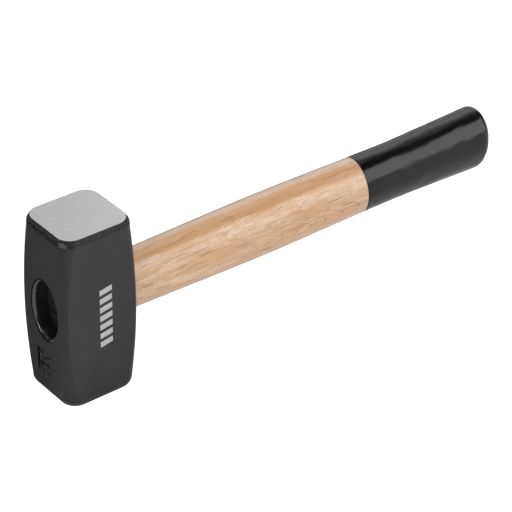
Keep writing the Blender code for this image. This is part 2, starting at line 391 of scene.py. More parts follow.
def sums(tree, operation, first, second=0.0, third=0.0):
    return add(tree, "Math", {0: first, 1: second, 2: third}, operation=operation).outputs[0]


def fade(tree, value, low, high, start=0.0, end=1.0):
    """start where value is at low, end where it is at high, and a smooth change between."""
    sockets = {"Value": value, "From Min": low, "From Max": high, "To Min": start, "To Max": end}
    return add(tree, "MapRange", sockets, interpolation_type="SMOOTHSTEP").outputs["Result"]


def blend(tree, share, first, second):
    """A mix of two colours: the first at share 0, the second at 1. Each is a socket or three numbers."""
    made = tree.nodes.new("ShaderNodeMix")
    made.data_type = "RGBA"
    factor, colours, result = made.inputs[0], made.inputs[6:8], made.outputs[2]
    tree.links.new(share, factor)
    for colour, value in zip(colours, (first, second)):
        if isinstance(value, bpy.types.NodeSocket):
            tree.links.new(value, colour)
        else:
            colour.default_value = (*value, 1.0)
    return result


def bump(tree, height, distance, strength=1.0, under=None):
    sockets = {"Height": height, "Distance": distance, "Strength": strength}
    if under:
        sockets["Normal"] = under
    return add(tree, "Bump", sockets).outputs["Normal"]


def axis(tree, where, name):
    return add(tree, "SeparateXYZ", {0: where}).outputs[name]


def attribute(tree, name):
    return add(tree, "Attribute", {}, attribute_name=name).outputs["Fac"]


def link(tree, shader, **sockets):
    for name, value in sockets.items():
        tree.links.new(value, shader.inputs[name.replace("_", " ")])


# ---------------------------------------------------------------- materials


def head_paint():
    """Satin black paint over forged steel, worn thin on edges, and dark rough scale on the end rings, with
    painted shadow along the ledge and a painted sheen near the ground faces on the front and back.
    """
    made, tree, shader = new_material("head_paint", 0.42, level=0.42)
    here = place(tree)
    broad = cloud(tree, here, 60.0, 4.0)
    fine = cloud(tree, here, 900.0, 3.0)
    grit = cloud(tree, here, 2600.0, 2.0)
    scale, shadow, wear_and_sheen = (attribute(tree, name) for name in HEAD_MARKS)
    ragged_wear_and_sheen = sums(tree, "ADD", wear_and_sheen, fade(tree, fine, 0.3, 0.7, -0.3, 0.3))
    paint = blend(tree, fade(tree, broad, 0.35, 0.65), (0.0145, 0.0145, 0.0148), (0.0190, 0.0190, 0.0194))
    paint = blend(tree, fade(tree, grit, 0.55, 0.75, 0.0, 0.35), paint, (0.040, 0.040, 0.041))
    paint = blend(tree, fade(tree, ragged_wear_and_sheen, 0.55, 0.95, 0.0, 0.3), paint, (0.030, 0.030, 0.031))
    flecks = fade(tree, cloud(tree, here, 1500.0, 2.0), 0.54, 0.68, 0.0, 0.8)
    crust = blend(tree, flecks, (0.006, 0.006, 0.006), (0.040, 0.040, 0.041))
    # Painted shadow: the scale is darkened in the dark of the ledge.
    crust = blend(tree, fade(tree, shadow, 0.1, 0.9, 0.0, 0.9), crust, (0.002, 0.002, 0.002))
    # Lighter where the ring corners are knocked, and a painted sheen near the ground faces on the front and
    # back.
    crust = blend(tree, fade(tree, ragged_wear_and_sheen, 0.2, 0.8, 0.0, 0.8), crust, (0.120, 0.120, 0.120))
    link(tree, shader, Base_Color=blend(tree, scale, paint, crust))
    satin = fade(tree, broad, 0.3, 0.7, 0.32, 0.39)
    link(tree, shader, Roughness=sums(tree, "MULTIPLY_ADD", scale, 0.12, satin))
    peel = bump(tree, fine, 0.00004, 0.6)
    peel = bump(tree, grit, 0.00003, 0.6, peel)
    crusty = sums(tree, "MULTIPLY", cloud(tree, here, 1100.0, 4.0), scale)
    link(tree, shader, Normal=bump(tree, crusty, 0.0006, 0.8, peel))
    return made


def ground_steel():
    """A striking face, ground across in one direction and left bright."""
    made, tree, shader = new_material("ground_steel", 0.4, metallic=1.0)
    lines = cloud(tree, place(tree, (70.0, 1500.0, 1.0)), 1.0, 4.0, 0.7)
    long_lines = cloud(tree, place(tree, (18.0, 700.0, 1.0)), 1.0, 2.0)
    patches = cloud(tree, place(tree), 90.0, 2.0)
    speckle = cloud(tree, place(tree), 1500.0, 3.0)
    tone = blend(tree, fade(tree, lines, 0.3, 0.7), (0.61, 0.61, 0.613), (0.67, 0.67, 0.673))
    tone = blend(tree, fade(tree, long_lines, 0.35, 0.65, 0.0, 0.20), tone, (0.59, 0.59, 0.592))
    tone = blend(tree, fade(tree, speckle, 0.5, 0.75, 0.0, 0.6), tone, (0.50, 0.50, 0.502))
    link(tree, shader, Base_Color=tone, Roughness=fade(tree, patches, 0.3, 0.7, 0.44, 0.46))
    link(tree, shader, Normal=bump(tree, lines, 0.00003, 0.3))
    return made


def stamp_floor():
    """The floor of the stamped panel: rough forged metal under thick paint, with painted shade between its
    lumps and painted light on their tops.
    """
    made, tree, shader = new_material("stamp_floor", 0.5)
    here = place(tree)
    lumps = cloud(tree, here, 700.0, 1.5, 0.4)
    # Painted shade in the gaps between the lumps and painted light on their tops.
    tone = blend(tree, fade(tree, lumps, 0.45, 0.62), (0.004, 0.004, 0.004), (0.080, 0.080, 0.081))
    link(tree, shader, Base_Color=tone, Roughness=fade(tree, lumps, 0.3, 0.7, 0.42, 0.62))
    link(tree, shader, Normal=bump(tree, lumps, 0.0007, 0.9))
    return made


def eye_paint():
    """Glossy black paint pooled round the rims and on the wall of the eye."""
    made, tree, shader = new_material("eye_paint", 0.25, coat=1.0, coat_rough=0.12)
    drips = cloud(tree, place(tree, (0.25, 1.0, 1.0)), 200.0, 3.0)
    tone = blend(tree, drips, (0.010, 0.010, 0.010), (0.016, 0.016, 0.016))
    link(tree, shader, Base_Color=tone, Roughness=fade(tree, drips, 0.3, 0.7, 0.26, 0.36))
    link(tree, shader, Normal=bump(tree, drips, 0.00006, 0.2))
    return made


def tip_paint_and_shade():
    """Matt black paint that has soaked into the handle's tip and the wedges deep inside the eye; its near-black
    also paints the shade there.
    """
    made, tree, shader = new_material("tip_paint_and_shade", 0.6, level=0.3)
    soaked = cloud(tree, place(tree, (1.0, 0.6, 0.6)), 500.0, 3.0)
    tone = blend(tree, soaked, (0.013, 0.013, 0.013), (0.018, 0.018, 0.018))
    link(tree, shader, Base_Color=tone, Roughness=fade(tree, soaked, 0.3, 0.7, 0.55, 0.7))
    return made


def crevice_painted_shade():
    """Painted shade: dull near-black in the crease round the eye and along the walls of the stamped panel,
    where shade falls.
    """
    made, tree, shader = new_material("crevice_painted_shade", 0.8, level=0.1)
    dust = cloud(tree, place(tree), 1200.0, 3.0)
    tone = blend(tree, dust, (0.0015, 0.0015, 0.0015), (0.0040, 0.0040, 0.0040))
    link(tree, shader, Base_Color=tone, Roughness=fade(tree, dust, 0.3, 0.7, 0.7, 0.9))
    return made


def cheek_ink():
    """Pale grey printing ink, a little worn."""
    made, tree, shader = new_material("cheek_ink", 0.5)
    worn = fade(tree, cloud(tree, place(tree), 2500.0, 3.0), 0.35, 0.6)
    link(tree, shader, Base_Color=blend(tree, worn, (0.36, 0.36, 0.36), (0.58, 0.58, 0.58)))
    link(tree, shader, Roughness=fade(tree, worn, 0.0, 1.0, 0.6, 0.45))
    return made


def growth_lines(tree):
    """Thin late-wood lines that nest in arches along the grain, where the surface just grazes the rings."""
    wander = cloud(tree, place(tree, (16.0, 90.0, 90.0)), 1.0, 1.5)
    here = place(tree, shift=(0.0, 0.0, -ARCH_HEIGHT))
    x, z = axis(tree, here, "X"), axis(tree, here, "Z")
    squared = sums(tree, "MULTIPLY", z, z)
    along = sums(tree, "MULTIPLY_ADD", squared, ARCH_NARROWNESS, x)
    steps = sums(tree, "DIVIDE", sums(tree, "SUBTRACT", along, ARCH_TIP_X), ARCH_STEP)
    position = sums(tree, "FRACT", sums(tree, "MULTIPLY_ADD", wander, 1.6, sums(tree, "ADD", steps, 40.0)))
    line = sums(tree, "MULTIPLY", fade(tree, position, 0.84, 0.95), fade(tree, position, 1.0, 0.97))
    near_arches = sums(tree, "MULTIPLY", fade(tree, x, 0.085, 0.125), fade(tree, squared, 0.00010, 0.00004))
    inside = fade(tree, along, ARCH_TIP_X + 0.006, ARCH_TIP_X)
    return sums(tree, "MULTIPLY", sums(tree, "MULTIPLY", line, near_arches), inside)


def painted_shade_band(tree):
    """Painted shade: a darker, more orange band along one side of the handle's top with wavering edges, where
    the clear coat shows no sheen.
    """
    waver = cloud(tree, place(tree, (30.0, 160.0, 160.0)), 1.0, 3.0)
    height = sums(tree, "MULTIPLY_ADD", waver, 0.0030, axis(tree, place(tree), "Z"))
    across = sums(tree, "MULTIPLY_ADD", waver, 0.0024, axis(tree, place(tree), "Y"))
    on_top = fade(tree, height, SHADE_BAND_Z, SHADE_BAND_Z + SHADE_BAND_EDGE_Z, 0.0, 0.55)
    return sums(tree, "MULTIPLY", on_top, fade(tree, across, SHADE_BAND_Y, SHADE_BAND_Y - SHADE_BAND_EDGE_Y))


def pore_dashes(tree, stretch, shift, share):
    """Thin dark dashes along the grain, one in that share of the cells of a stretched and staggered grid."""
    stagger = cloud(tree, place(tree, (8.0, 1100.0, 1100.0)), 1.0, 1.0)
    offset = add(tree, "CombineXYZ", {"X": sums(tree, "MULTIPLY", stagger, 5.0)}).outputs[0]
    grid = place(tree, stretch, (shift, shift, shift))
    where = add(tree, "VectorMath", {0: grid, 1: offset}, operation="ADD").outputs[0]
    cells = add(tree, "TexVoronoi", {"Vector": where, "Scale": 1.0, "Randomness": 1.0})
    dash = fade(tree, cells.outputs["Distance"], 0.16, 0.42, 1.0, 0.0)
    chosen = fade(tree, axis(tree, cells.outputs["Color"], "X"), 1.0 - share, 1.02 - share)
    return sums(tree, "MULTIPLY", dash, chosen)


def handle_wood():
    """Pale varnished wood: mottled, with fine fibres, arched growth lines and dark pores under a clear coat.

    A darker amber band of painted shade runs along the top, and a paler painted sheen takes up the side beyond
    it.
    """
    made, tree, shader = new_material("handle_wood", 0.4, coat=0.7, coat_rough=0.13)
    broad = cloud(tree, place(tree, (26.0, 150.0, 150.0)), 1.0, 4.0, 0.6)
    mottle = cloud(tree, place(tree, (120.0, 420.0, 420.0)), 1.0, 4.0, 0.6)
    fibres = cloud(tree, place(tree, (80.0, 1300.0, 1300.0)), 1.0, 4.0, 0.65)
    grains = cloud(tree, place(tree, (900.0, 1600.0, 1600.0)), 1.0, 2.0)
    streaks = cloud(tree, place(tree, (26.0, 620.0, 620.0)), 1.0, 3.0, 0.6)
    tone = blend(tree, fade(tree, broad, 0.40, 0.60), (0.760, 0.450, 0.245), (0.840, 0.600, 0.415))
    tone = blend(tree, fade(tree, mottle, 0.42, 0.62, 0.0, 0.60), tone, (0.68, 0.380, 0.185))
    tone = blend(tree, fade(tree, streaks, 0.48, 0.66, 0.0, 0.40), tone, (0.60, 0.320, 0.145))
    tone = blend(tree, fade(tree, fibres, 0.46, 0.66, 0.0, 0.45), tone, (0.56, 0.315, 0.165))
    tone = blend(tree, fade(tree, grains, 0.46, 0.66, 0.0, 0.50), tone, (0.56, 0.315, 0.155))
    # Painted shade: darker and more orange along the top, where the coat shows no sheen.
    tone = blend(tree, painted_shade_band(tree), tone, (0.63, 0.320, 0.135))
    # Painted sheen: the handle is paler on its +Y side, along the upper edge.
    pale_sheen_side = fade(tree, axis(tree, place(tree), "Y"), SHEEN_SIDE_STARTS_Y, SHEEN_SIDE_FULL_Y, 0.0, 0.5)
    tone = blend(tree, pale_sheen_side, tone, (0.86, 0.69, 0.55))
    tone = blend(tree, sums(tree, "MULTIPLY", growth_lines(tree), 0.55), tone, (0.36, 0.19, 0.10))
    pores = sums(tree, "MAXIMUM", pore_dashes(tree, *LONG_PORES), pore_dashes(tree, *SHORT_PORES))
    tone = blend(tree, sums(tree, "MULTIPLY", pores, 0.80), tone, (0.17, 0.085, 0.05))
    link(tree, shader, Base_Color=tone, Roughness=fade(tree, fibres, 0.3, 0.7, 0.34, 0.50))
    relief = sums(tree, "SUBTRACT", sums(tree, "MULTIPLY", fibres, 0.3), pores)
    link(tree, shader, Normal=bump(tree, relief, 0.00006, 0.5))
    dimples = cloud(tree, place(tree, (0.6, 1.0, 1.0)), 1300.0, 2.0)
    link(tree, shader, Coat_Normal=bump(tree, sums(tree, "SUBTRACT", dimples, pores), 0.00008, 0.6))
    return made


def wedge_wood():
    """Plain dry hardwood."""
    made, tree, shader = new_material("wedge_wood", 0.6)
    grain = cloud(tree, place(tree, (60.0, 900.0, 700.0)), 1.0, 4.0)
    tone = blend(tree, fade(tree, grain, 0.3, 0.7), (0.36, 0.22, 0.12), (0.50, 0.33, 0.19))
    link(tree, shader, Base_Color=tone, Roughness=fade(tree, grain, 0.3, 0.7, 0.5, 0.7))
    link(tree, shader, Normal=bump(tree, grain, 0.00008, 0.5))
    return made


def wedge_steel():
    """Rolled mild steel with a thin dark oxide."""
    made, tree, shader = new_material("wedge_steel", 0.45, metallic=1.0)
    oxide = cloud(tree, place(tree), 600.0, 4.0)
    tone = blend(tree, fade(tree, oxide, 0.35, 0.65), (0.16, 0.155, 0.15), (0.40, 0.40, 0.41))
    link(tree, shader, Base_Color=tone, Roughness=fade(tree, oxide, 0.3, 0.7, 0.6, 0.36))
    link(tree, shader, Normal=bump(tree, oxide, 0.00005, 0.5))
    return made


def grip_lacquer():
    """Thick glossy black lacquer that follows the wood's grain a little."""
    made, tree, shader = new_material("grip_lacquer", 0.16, level=0.44)
    grain = cloud(tree, place(tree, (22.0, 420.0, 420.0)), 1.0, 3.0)
    dust = cloud(tree, place(tree), 1500.0, 2.0)
    haze = cloud(tree, place(tree, (18.0, 60.0, 60.0)), 1.0, 3.0)
    tone = blend(tree, fade(tree, haze, 0.35, 0.65), (0.0045, 0.0045, 0.0047), (0.0065, 0.0065, 0.0067))
    link(tree, shader, Base_Color=tone, Roughness=fade(tree, haze, 0.3, 0.7, 0.13, 0.20))
    ripples = bump(tree, grain, 0.00004, 0.25)
    specks = fade(tree, dust, 0.72, 0.80)
    link(tree, shader, Normal=bump(tree, specks, 0.00005, 0.4, ripples))
    return made


# ---------------------------------------------------------------- head


def corner_points(leg, flatness):
    """A quarter turn from (leg, 0) to (0, leg) about 0, 0: an arc at flatness 0, partly a chamfer at 1.

    The chamfer meets the head's front or back in a crisp edge, and runs into the cheek as a plain arc.
    """
    points = []
    for step in range(CORNER_STEPS + 1):
        share = step / CORNER_STEPS
        turn = math.pi / 2 * share
        arc = Vector((leg * math.cos(turn), leg * math.sin(turn)))
        chamfer = Vector((leg * (1 - share), leg * share))
        points.append(arc.lerp(chamfer, flatness * mix(FLATNESS_AT_FRONT, FLATNESS_AT_CHEEK, share)))
    return points


def head_ring(half_depth, half_width, leg, flatness, height):
    """One level of the head: four corners joined by evenly divided sides."""
    corner = corner_points(leg, flatness)
    ring = []
    quarters = ((1, 1, False), (-1, 1, True), (-1, -1, False), (1, -1, True))
    for side_x, side_y, backwards in quarters:
        turned = reversed(corner) if backwards else corner
        for point in turned:
            x, y = half_depth - leg + point.x, half_width - leg + point.y
            ring.append(Vector((side_x * x, side_y * y, height)))
    return divide_sides(ring)


def divide_sides(corners):
    """Adds even points along the four straight sides between the corners."""
    per_corner = CORNER_STEPS + 1
    counts = (round(2 * HEAD_HALF_DEPTH / HEAD_STEP), round(2 * HEAD_HALF_WIDTH / HEAD_STEP))
    ring = []
    for quarter in range(4):
        ring += corners[quarter * per_corner : (quarter + 1) * per_corner]
        start = ring[-1]
        end = corners[(quarter + 1) * per_corner % len(corners)]
        count = counts[quarter % 2]
        ring += [start.lerp(end, i / count) for i in range(1, count)]
    return ring


def head_heights():
    """Heights of the head's rings above and below its middle, closer together near the two end rings."""
    ring_at = HEAD_LENGTH / 2 - RING_HEIGHT
    even = stops_between(LEDGE_ZONE - ring_at, ring_at - LEDGE_ZONE, HEAD_STEP)
    close = stops_between(ring_at - LEDGE_ZONE, ring_at, LEDGE_STEP)[1:]
    return [-height for height in reversed(close)] + even + close


def head_levels():
    """(height above the middle, half depth, half width, corner leg, flatness) of each level."""
    ring_at = HEAD_LENGTH / 2 - RING_HEIGHT
    levels = []
    for height in head_heights():
        from_waist = abs(height) / ring_at
        depth = HEAD_HALF_DEPTH - SKIN_INSET - BARREL_DEPTH * from_waist**2
        width = HEAD_HALF_WIDTH - SKIN_INSET - BARREL_WIDTH * from_waist**2
        leg = mix(WAIST_CORNER, END_CORNER, from_waist**CORNER_GROWTH)
        levels.append((height, depth, width, leg, 1.0))
    upper = ring_levels(*levels[-1])
    lower = [(-height, *rest) for height, *rest in reversed(upper)]
    return lower + levels + upper


def ring_levels(height, depth, width, leg, flatness):
    """The end ring above a level, curving over more and more until it lies level at the ground face."""
    levels = []
    for step in range(1, RING_STEPS + 1):
        turn = math.pi / 2 * step / RING_STEPS
        inward = mix(math.sin(turn), 1 - math.cos(turn), RING_ROUNDNESS)
        levels.append((
            height + RING_HEIGHT * math.sin(turn),
            mix(depth, GROUND_HALF_DEPTH, inward),
            mix(width, GROUND_HALF_WIDTH, inward),
            mix(leg, GROUND_CORNER, inward),
            mix(flatness, 0.0, inward),
        ))
    return levels


def forge_skin(point):
    """Pushes a point of the head in or out, as forging and scale left it.

    The scale of each end ring hangs over the smooth body in a low ragged ledge, the upper one over a groove.
    Also tells how scaly the point is, and how much of that lies in the dark of the ledge.
    """
    outward = Vector((point.x / HEAD_HALF_DEPTH, point.y / HEAD_HALF_WIDTH, 0)).normalized()
    above = above_ring(point) - LEDGE_RAGGEDNESS * waves(point, LEDGE_WAVES)
    ring_scale, groove_depth = (1.0, LEDGE_GROOVE) if point.z > 0 else (LOWER_RING_SCALE, 0.0)
    scaly = smooth_step(-0.0003, 0.0001, above) * ring_scale
    settled = smooth_step(0.0026, 0.0016, above)
    ledge = LEDGE_HEIGHT * scaly * smooth_step(0.0022, 0.0, above)
    groove = groove_depth * (1 - scaly) * smooth_step(-0.0013, -0.0003, above)
    # Where the paint darkens the scale as painted shadow under the ledge.
    shadow = scaly * smooth_step(0.0013, 0.0004, above)
    skin = waves(point, BODY_WAVES) + waves(point, SCALE_WAVES) * scaly * settled
    return keep_inside(point + outward * (skin + ledge - groove)), (scaly, shadow)


def above_ring(point):
    """How far a point lies beyond the start of the end ring on its side of the head's middle."""
    return abs(point.z) - (HEAD_LENGTH / 2 - RING_HEIGHT)


def keep_inside(point):
    """The point, or the nearest one that stays just inside the CAD box."""
    depth, width = HEAD_HALF_DEPTH - SKIN_CLEARANCE, HEAD_HALF_WIDTH - SKIN_CLEARANCE
    return Vector((max(-depth, min(depth, point.x)), max(-width, min(width, point.y)), point.z))


def head_mesh():
    """The forging before its eye and panel are cut, with HEAD_MARKS as attributes of its points."""
    rings = []
    marks = []
    for height, depth, width, leg, flatness in head_levels():
        points = head_ring(depth, width, leg, flatness, height)
        skins = [forge_skin(point) for point in points]
        if abs(height) < HEAD_LENGTH / 2 - GROUND_EDGE:
            points = [skin for skin, scale in skins]
        rings.append([point + Vector((0, 0, HANDLE_HEIGHT)) for point in points])
        for point, (skin, scale) in zip(points, skins):
            marks.append((*scale, edge_wear_and_sheen(point, depth, width, leg)))
    mesh = loft("head_forging", rings)
    for column, name in enumerate(HEAD_MARKS):
        layer = mesh.attributes.new(name, "FLOAT", "POINT")
        layer.data.foreach_set("value", [mark[column] for mark in marks])
    return mesh


def edge_wear_and_sheen(point, depth, width, leg):
    """1 along the two edges of each corner's facet, fading to 0 within WEAR_REACH.

    The end rings are knocked about on their four corners instead, and get a painted sheen near the ground face
    on the front and back.
    """
    above = above_ring(point)
    if above > 0:
        on_front = smooth_step(0.84, 0.91, abs(point.x) / HEAD_HALF_DEPTH)
        on_corner = smooth_step(0.64, 0.76, abs(point.y) / HEAD_HALF_WIDTH)
        knocked = on_corner * smooth_step(0.0022, 0.0016, above)
        # Painted sheen: the ring's outer part on the front and back is painted lighter.
        painted_sheen = 0.4 * smooth_step(0.0007, 0.0016, above)
        return on_front * max(knocked, painted_sheen)
    to_cheek_edge = abs(abs(point.x) - (depth - leg))
    to_front_edge = abs(abs(point.y) - (width - leg))
    on_cheek = abs(point.y) > width - leg * 0.6
    on_front = abs(point.x) > depth - leg * 0.6
    distance = min(to_cheek_edge if on_cheek else 1.0, to_front_edge if on_front else 1.0)
    return max(0.0, 1 - distance / WEAR_REACH)


def full_turn(sides):
    return [2 * math.pi * i / sides for i in range(sides)]


def eye_size(x):
    """Half width and half height of the eye at x."""
    mouth, mouth_x = (EYE_FRONT, -HEAD_HALF_DEPTH) if x < EYE_WAIST_X else (EYE_BACK, HEAD_HALF_DEPTH)
    share = (x - EYE_WAIST_X) / (mouth_x - EYE_WAIST_X)
    return [mix(waist, wide, share) for waist, wide in zip(EYE_WAIST, mouth)]


def eye_rise(x):
    """How far the middle of the eye at x lies above the handle's axis."""
    return EYE_RISE * max(0.0, HEAD_HALF_DEPTH - x) / (2 * HEAD_HALF_DEPTH)


def rim_profile(outward, inward, crease):
    """(depth below the face, distance outside the eye's wall) round a rim, from outside the head inwards.

    Where the crease dies out, the rim spreads a little instead.
    """
    outward += RIM_SPREAD * (1 - crease)
    crease_depth = max(RIM_SINK, CREASE_DEPTH * crease)
    crease_width = max(CREASE_MIN_WIDTH, CREASE_WIDTH * crease)
    profile = [
        (-CUTTER_REACH, outward + crease_width),
        (0.0, outward + crease_width),
        (crease_depth, outward + crease_width * 0.8),
        (crease_depth, outward + crease_width * 0.3),
    ]
    for step in range(RIM_STEPS + 1):
        share = step / RIM_STEPS
        turn = math.pi / 2 * share
        depth = RIM_SINK + inward * mix(share, 1 - math.cos(turn), RIM_ROUNDNESS)
        profile.append((depth, outward * mix(1 - share, 1 - math.sin(turn), RIM_ROUNDNESS)))
    return profile


def eye_cutter():
    """The eye, flared at both mouths. A crease runs round most of the front rim and fades out on one side."""
    turns = full_turn(EYE_SIDES)
    front = [rim_profile(*RIM_FRONT, 0.5 + 0.5 * math.cos(turn)) for turn in turns]
    back = [rim_profile(*RIM_BACK, 0.0) for turn in turns]
    inner = stops_between(RIM_SINK + RIM_FRONT[1], 2 * HEAD_HALF_DEPTH - RIM_SINK - RIM_BACK[1], EYE_STEP)[1:-1]
    rings = [
        [eye_point(turn, -HEAD_HALF_DEPTH + depth, outside) for turn, (depth, outside) in zip(turns, level)]
        for level in zip(*front)
    ]
    rings += [[eye_point(turn, -HEAD_HALF_DEPTH + depth, 0.0) for turn in turns] for depth in inner]
    rings += [
        [eye_point(turn, HEAD_HALF_DEPTH - depth, outside) for turn, (depth, outside) in zip(turns, level)]
        for level in reversed(list(zip(*back)))
    ]
    mesh = loft("eye_cutter", rings)
    shade(mesh, 45)
    for number, face in enumerate(mesh.polygons):
        # The crease's faces take the painted shade.
        face.material_index = PAINTED_SHADE_SLOT if number // EYE_SIDES in CREASE_FACE_ROWS else EYE_SLOT
    return mesh


def eye_point(turn, x, outside):
    """A point that far outside the eye's wall, at x and at that turn round the eye's middle."""
    half_width, half_height = eye_size(max(-HEAD_HALF_DEPTH, min(HEAD_HALF_DEPTH, x)))
    y = (half_width + outside) * math.cos(turn)
    z = (half_height + outside) * math.sin(turn)
    return Vector((x, y, HANDLE_HEIGHT + eye_rise(x) + z))


def stamp_cutter():
    """A slab whose inner side is the rough floor of the stamped panel, sunk into the head's front."""
    centre_z = HANDLE_HEIGHT + EYE_RISE - STAMP_BELOW_EYE_CENTRE
    bm = bmesh.new()
    rows = []
    for i in range(STAMP_STEPS + 1):
        row = []
        for j in range(STAMP_STEPS + 1):
            across, up = 2 * i / STAMP_STEPS - 1, 2 * j / STAMP_STEPS - 1
            point = Vector((0, across * STAMP_HALF_WIDTH, up * STAMP_HALF_HEIGHT))
            point.x = -HEAD_HALF_DEPTH + SKIN_INSET + stamp_floor_depth(point, across, up)
            row.append(bm.verts.new(point + Vector((0, 0, centre_z))))
        rows.append(row)
    for near, far in zip(rows, rows[1:]):
        for j in range(STAMP_STEPS):
            bm.faces.new((near[j], near[j + 1], far[j + 1], far[j])).material_index = STAMP_SLOT
    rim = [edge for edge in bm.edges if edge.is_boundary]
    grown = bmesh.ops.extrude_edge_only(bm, edges=rim)["geom"]
    for item in grown:
        if isinstance(item, bmesh.types.BMVert):
            item.co.x = -HEAD_HALF_DEPTH - CUTTER_REACH
        # The panel's walls take the painted shade.
        if isinstance(item, bmesh.types.BMFace):
            item.material_index = PAINTED_SHADE_SLOT
    bmesh.ops.holes_fill(bm, edges=[edge for edge in bm.edges if edge.is_boundary])
    bmesh.ops.recalc_face_normals(bm, faces=bm.faces)
    mesh = bpy.data.meshes.new("stamp_cutter")
    bm.to_mesh(mesh)
    bm.free()
    shade(mesh, 40)
    return mesh


def stamp_floor_depth(point, across, up):
    """How deep the stamped panel is at a point: deep and crisp on one side, shallow on the other, pebbly."""
    slope = mix(STAMP_DEPTH_RIGHT, STAMP_DEPTH_LEFT, smooth_step(-1.0, 0.6, across))
    pebbles = max(0.0, wave(point, STAMP_PEBBLE, 21) + 0.10) + 0.3 * wave(point, STAMP_PEBBLE / 2, 23)
    slope *= 1 - 0.85 * smooth_step(-0.5, -1.0, up)
    return max(STAMP_LEAST_DEPTH, slope - STAMP_PEBBLE_HEIGHT * pebbles)


def make_head():
    """The forging with its two ground faces, the only ones with more than four corners, and its cuts."""
    finishes = (head_paint(), ground_steel(), stamp_floor(), eye_paint(), crevice_painted_shade())
    head = add_object("head_forging", head_mesh(), finishes)
    shade(head.data, 32)
    for face in head.data.polygons:
        if len(face.vertices) > 4:
            face.material_index = GROUND_SLOT
            face.use_smooth = False
    carve(head, stamp_cutter())
    carve(head, eye_cutter())
    stand_in_for(head, "hammer_head")


def make_cheek_mark():
    """Plain slanted bars printed in a column on the cheek, a hair proud of the paint."""
    bm = bmesh.new()
    pitch = (MARK_HIGH - MARK_LOW) / MARK_BARS
    face_y = -HEAD_HALF_WIDTH + SKIN_INSET
    for bar in range(MARK_BARS):
        low = HANDLE_HEIGHT + MARK_LOW + pitch * bar
        high = low + pitch * MARK_BAR_SHARE
        corners = (
            (MARK_LEFT, low),
            (MARK_RIGHT, low + MARK_SLANT),
            (MARK_RIGHT, high + MARK_SLANT),
            (MARK_LEFT, high),
        )
        verts = [bm.verts.new((x, face_y + INK_THICKNESS, z)) for x, z in corners]
        face = bm.faces.new(verts)
        grown = bmesh.ops.extrude_face_region(bm, geom=[face])["geom"]
        for item in grown:
            if isinstance(item, bmesh.types.BMVert):
                item.co.y = face_y - INK_THICKNESS
    bmesh.ops.recalc_face_normals(bm, faces=bm.faces)
    mesh = bpy.data.meshes.new("cheek_mark")
    bm.to_mesh(mesh)
    bm.free()
    mark = add_object("cheek_mark", mesh, (cheek_ink(),))
    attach(mark, "root")


# ---------------------------------------------------------------- handle and coating


def handle_size(x):
    """Half width and half height of the handle at x: a smooth curve through HANDLE_OVALS."""
    rows = HANDLE_OVALS
    if x <= rows[0][0]:
        return [size - FIT_GAP for size in eye_size(x)]
    k = next(i for i in range(1, len(rows)) if x <= rows[i][0] or i == len(rows) - 1)
    span = rows[k][0] - rows[k - 1][0]
    t = min((x - rows[k - 1][0]) / span, 1.0)

    def slope(i, column):
        low, high = rows[max(i - 1, 0)], rows[min(i + 1, len(rows) - 1)]
        return (high[column] - low[column]) / (high[0] - low[0])

    sizes = []
    for column in (1, 2):
        start, end = rows[k - 1][column], rows[k][column]
        out, into = slope(k - 1, column) * span, slope(k, column) * span
        sizes.append(
            (2 * t**3 - 3 * t**2 + 1) * start
            + (t**3 - 2 * t**2 + t) * out
            + (3 * t**2 - 2 * t**3) * end
            + (t**3 - t**2) * into
        )
    return sizes


def oval(x, half_width, half_height, centre_z):
    turns = full_turn(HANDLE_SIDES)
    return [Vector((x, half_width * math.cos(a), centre_z + half_height * math.sin(a))) for a in turns]


def handle_ring(x, outward=0.0, lean=0.0):
    """The handle's outline at x, moved outwards. With a lean, its upper part lies nearer the head."""
    half_width, half_height = handle_size(x)
    ring = oval(x, half_width + outward, half_height + outward, 0.0)
    return [point + Vector((-lean * point.z, 0, HANDLE_HEIGHT + eye_rise(x))) for point in ring]


def edge_lean(x):
    """The coating's edge leans, and rings further along the handle lean less, until they stand square."""
    return COATING_EDGE_LEAN * (1 - smooth_step(0.0, COATING_LEAN_REACH, abs(x - COATING_START_X)))


def butt_rings(outward):
    """Rings that close the butt with a squarish dome, from its widest ring to a small last one."""
    start = BUTT_X - BUTT_ROUNDING
    half_width, half_height = (size + outward for size in handle_size(start))
    rings = []
    for step in range(BUTT_STEPS):
        angle = math.pi / 2 * step / (BUTT_STEPS - 0.6)
        share = math.cos(angle) ** (2 / BUTT_SQUARENESS)
        x = start + (BUTT_ROUNDING + outward) * math.sin(angle) ** (2 / BUTT_SQUARENESS)
        rings.append(oval(x, half_width * share, half_height * share, HANDLE_HEIGHT))
    return rings


def ripple(ring, layer, share=1.0):
    """Moves a ring's points in and out by a share of smooth noise that is stretched along the handle."""
    height, size, seed = layer
    moved = []
    for point in ring:
        outward = Vector((0, point.y, point.z - HANDLE_HEIGHT)).normalized()
        where = Vector((point.x / RIPPLE_STRETCH, point.y, point.z))
        push = wave(where, size, seed) + 0.5 * wave(where, size / 2, seed + 9)
        moved.append(point + outward * (height * share) * push)
    return moved


def wooden_half_thickness(x):
    share = (x - WOODEN_WEDGE_LOW.x) / (WOODEN_WEDGE_HIGH.x - WOODEN_WEDGE_LOW.x)
    return mix(WOODEN_WEDGE_THICK, WOODEN_WEDGE_THIN, share) / 2


